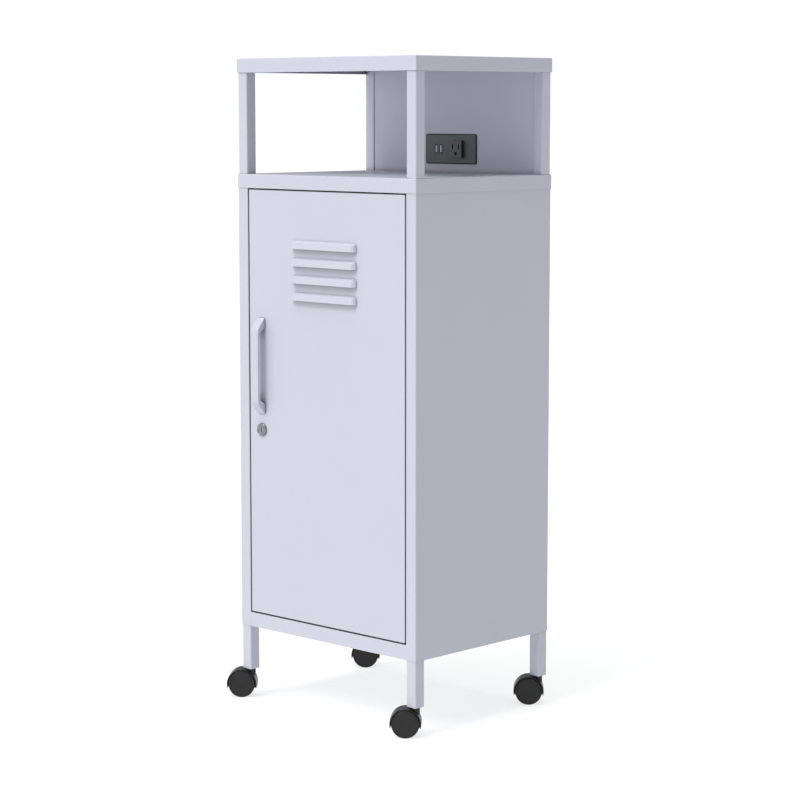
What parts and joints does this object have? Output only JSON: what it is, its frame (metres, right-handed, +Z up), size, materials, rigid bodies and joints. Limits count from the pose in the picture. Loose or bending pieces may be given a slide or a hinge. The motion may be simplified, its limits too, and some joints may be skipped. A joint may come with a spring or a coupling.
{
  "type": "locker cabinet",
  "caption": "Tall narrow metal locker cabinet on swivel casters: hinged louvered door with handle and cam lock, shelves inside, open niche above with outlet and charging ports, flat top tray.",
  "frame": {"origin": "on the floor, under the middle of the trays", "axes": "+Z up, -Y out of the door's front, +X to the right as seen from the front (the hinge side)"},
  "size_m": [0.4114, 0.3294, 0.9985],
  "materials": {
    "body_paint": "satin powder coat, pale cool white",
    "zinc_steel": "zinc plated",
    "lock_chrome": "polished plating",
    "nylon": "dark grey nylon",
    "caster_nylon": "fine satin, black",
    "wheel_nylon": "fine satin, charcoal",
    "power_plastic": "fine satin, dark grey green",
    "housing_plastic": "moulded black",
    "outlet_plastic": "fine satin, darker grey green",
    "tongue_plastic": "moulded white",
    "contact_brass": "spring brass",
    "circuit_board": "solder mask, green"
  },
  "bodies": {
    "cabinet": {"top_tray": "body_paint", "front_left_post": "body_paint", "front_right_post": "body_paint", "rear_right_post": "body_paint", "rear_left_post": "body_paint", "niche_back_panel": "body_paint", "middle_tray": "body_paint", "left_side_panel": "body_paint", "right_side_panel": "body_paint", "locker_back_panel": "body_paint", "head_rail": "body_paint", "bottom_tray": "body_paint", "front_left_leg": "body_paint", "front_right_leg": "body_paint", "rear_right_leg": "body_paint", "rear_left_leg": "body_paint", "tube_plugs": "nylon", "frame_bolts": "zinc_steel", "upper_shelf": "body_paint", "lower_shelf": "body_paint", "shelf_clips": "zinc_steel", "magnetic_catch": "nylon", "hinge_pins": "zinc_steel", "power_faceplate": "power_plastic", "power_housing": "housing_plastic", "outlet_block": "outlet_plastic", "outlet_contacts": "contact_brass", "usb_module": "outlet_plastic", "usb_tongues": "tongue_plastic", "usb_board": "circuit_board", "power_screws": "zinc_steel", "caster_stems": "zinc_steel"},
    "door": {"door_panel": "body_paint", "hinge_bushes": "nylon", "handle": "body_paint", "handle_screws": "zinc_steel", "lock_housing": "lock_chrome", "lock_nut": "zinc_steel"},
    "lock_barrel": {"lock_plug": "lock_chrome", "lock_cam": "zinc_steel", "lock_cam_screw": "zinc_steel"},
    "front_left_caster": {"front_left_caster_hood": "caster_nylon", "front_left_caster_axle": "zinc_steel"},
    "front_left_left_wheel": {"front_left_caster_left_wheel": "wheel_nylon"},
    "front_left_right_wheel": {"front_left_caster_right_wheel": "wheel_nylon"},
    "front_right_caster": {"front_right_caster_hood": "caster_nylon", "front_right_caster_axle": "zinc_steel"},
    "front_right_left_wheel": {"front_right_caster_left_wheel": "wheel_nylon"},
    "front_right_right_wheel": {"front_right_caster_right_wheel": "wheel_nylon"},
    "rear_right_caster": {"rear_right_caster_hood": "caster_nylon", "rear_right_caster_axle": "zinc_steel"},
    "rear_right_left_wheel": {"rear_right_caster_left_wheel": "wheel_nylon"},
    "rear_right_right_wheel": {"rear_right_caster_right_wheel": "wheel_nylon"},
    "rear_left_caster": {"rear_left_caster_hood": "caster_nylon", "rear_left_caster_axle": "zinc_steel"},
    "rear_left_left_wheel": {"rear_left_caster_left_wheel": "wheel_nylon"},
    "rear_left_right_wheel": {"rear_left_caster_right_wheel": "wheel_nylon"}
  },
  "joints": [
    {"name": "door_hinge", "type": "hinge", "parent": "cabinet", "child": "door", "pos_m": [0.1568, -0.1431, 0.4698], "axis": [0, 0, 1], "range_deg": [0, 115]},
    {"name": "lock_turn", "type": "hinge", "parent": "door", "child": "lock_barrel", "pos_m": [-0.138, -0.1491, 0.4298], "axis": [0, 1, 0], "range_deg": [0, 90]},
    {"name": "front_left_swivel", "type": "hinge", "parent": "cabinet", "child": "front_left_caster", "pos_m": [-0.1788, -0.1388, 0.035], "axis": [0, 0, 1], "continuous": true},
    {"name": "front_left_left_roll", "type": "hinge", "parent": "front_left_caster", "child": "front_left_left_wheel", "pos_m": [-0.18959, -0.14818, 0.0208], "axis": [0.6561, -0.7547, 0], "continuous": true},
    {"name": "front_left_right_roll", "type": "hinge", "parent": "front_left_caster", "child": "front_left_right_wheel", "pos_m": [-0.18959, -0.14818, 0.0208], "axis": [0.6561, -0.7547, 0], "continuous": true},
    {"name": "front_right_swivel", "type": "hinge", "parent": "cabinet", "child": "front_right_caster", "pos_m": [0.1788, -0.1388, 0.035], "axis": [0, 0, 1], "continuous": true},
    {"name": "front_right_left_roll", "type": "hinge", "parent": "front_right_caster", "child": "front_right_left_wheel", "pos_m": [0.16801, -0.14818, 0.0208], "axis": [0.6561, -0.7547, 0], "continuous": true},
    {"name": "front_right_right_roll", "type": "hinge", "parent": "front_right_caster", "child": "front_right_right_wheel", "pos_m": [0.16801, -0.14818, 0.0208], "axis": [0.6561, -0.7547, 0], "continuous": true},
    {"name": "rear_right_swivel", "type": "hinge", "parent": "cabinet", "child": "rear_right_caster", "pos_m": [0.1788, 0.1388, 0.035], "axis": [0, 0, 1], "continuous": true},
    {"name": "rear_right_left_roll", "type": "hinge", "parent": "rear_right_caster", "child": "rear_right_left_wheel", "pos_m": [0.16801, 0.12942, 0.0208], "axis": [0.6561, -0.7547, 0], "continuous": true},
    {"name": "rear_right_right_roll", "type": "hinge", "parent": "rear_right_caster", "child": "rear_right_right_wheel", "pos_m": [0.16801, 0.12942, 0.0208], "axis": [0.6561, -0.7547, 0], "continuous": true},
    {"name": "rear_left_swivel", "type": "hinge", "parent": "cabinet", "child": "rear_left_caster", "pos_m": [-0.1788, 0.1388, 0.035], "axis": [0, 0, 1], "continuous": true},
    {"name": "rear_left_left_roll", "type": "hinge", "parent": "rear_left_caster", "child": "rear_left_left_wheel", "pos_m": [-0.18959, 0.12942, 0.0208], "axis": [0.6561, -0.7547, 0], "continuous": true},
    {"name": "rear_left_right_roll", "type": "hinge", "parent": "rear_left_caster", "child": "rear_left_right_wheel", "pos_m": [-0.18959, 0.12942, 0.0208], "axis": [0.6561, -0.7547, 0], "continuous": true}
  ]
}
